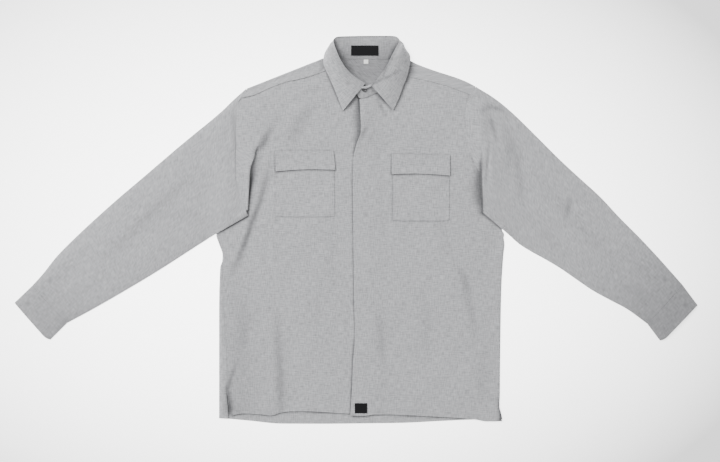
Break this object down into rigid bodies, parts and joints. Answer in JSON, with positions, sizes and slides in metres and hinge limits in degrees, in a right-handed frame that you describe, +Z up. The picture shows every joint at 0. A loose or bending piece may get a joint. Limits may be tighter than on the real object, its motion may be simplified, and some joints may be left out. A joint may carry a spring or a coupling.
{
  "type": "long-sleeved shirt",
  "caption": "Grey long-sleeved shirt with a pointed collar, concealed placket and flap pockets, laid flat with its sleeves spread.",
  "frame": {"origin": "on the surface that the shirt lies on, under the middle of its outline's box", "axes": "+X to the wearer's left cuff, +Y from the hem to the collar, +Z up from the surface"},
  "size_m": [1.4342, 0.8149, 0.0226],
  "materials": {
    "grey_cloth": "matt melange weave",
    "dark_label": "woven label, bare",
    "white_label": "woven label, bare",
    "dark_button": "semi-gloss"
  },
  "bodies": {
    "root": {"back": "grey_cloth", "yoke": "grey_cloth", "front_right": "grey_cloth", "front_left": "grey_cloth", "sleeve_right": "grey_cloth", "sleeve_left": "grey_cloth", "cuff_right": "grey_cloth", "cuff_left": "grey_cloth", "pocket_right": "grey_cloth", "pocket_left": "grey_cloth", "flap_right": "grey_cloth", "flap_left": "grey_cloth", "collar_stand": "grey_cloth", "collar_leaf": "grey_cloth", "collar_button": "dark_button", "neck_label": "dark_label", "size_label": "white_label", "hem_tag": "dark_label"}
  },
  "joints": []
}
